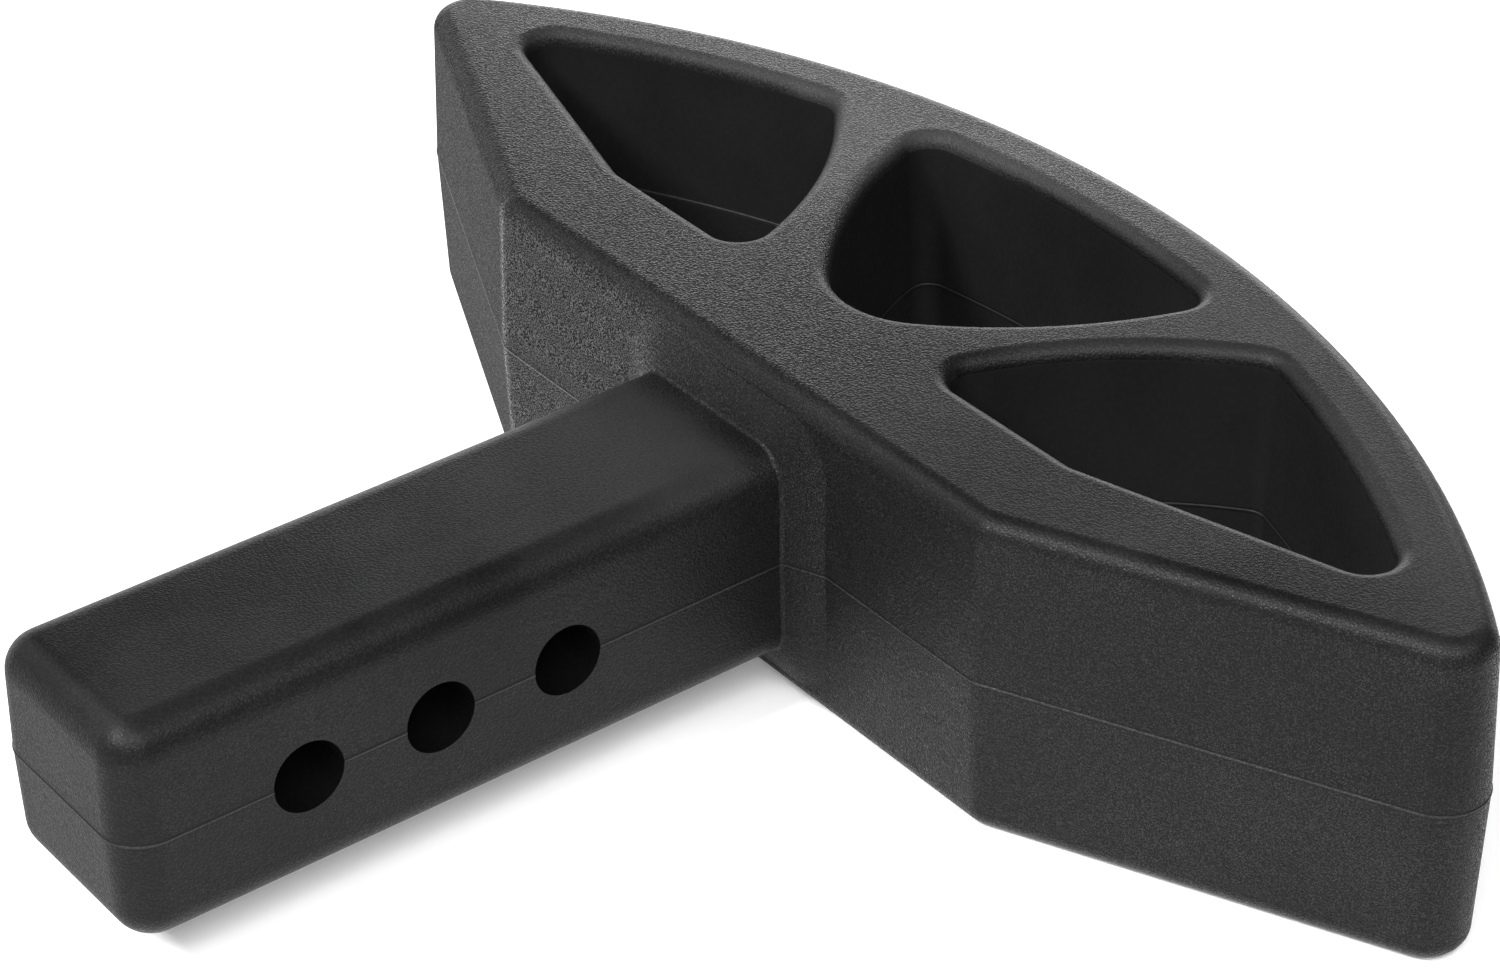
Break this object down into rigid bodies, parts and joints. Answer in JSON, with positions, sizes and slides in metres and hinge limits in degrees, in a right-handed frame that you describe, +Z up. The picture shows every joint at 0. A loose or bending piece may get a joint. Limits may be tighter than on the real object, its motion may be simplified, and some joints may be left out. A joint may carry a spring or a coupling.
{
  "type": "hitch bumper guard",
  "caption": "Moulded rubber bumper guard: a wide crescent head with through pockets and a curved front, on a square shank with cross holes for a hitch pin.",
  "frame": {"origin": "on the axis of the middle pin hole, at the middle of the shank", "axes": "+X along the head, +Y along the shank towards the curved front, +Z up across the thickness"},
  "size_m": [0.345, 0.2755, 0.076],
  "materials": {
    "moulded_rubber": "fine leather grain outside, smooth darker pocket walls"
  },
  "bodies": {
    "root": {"bumper_guard": "moulded_rubber"}
  },
  "joints": []
}
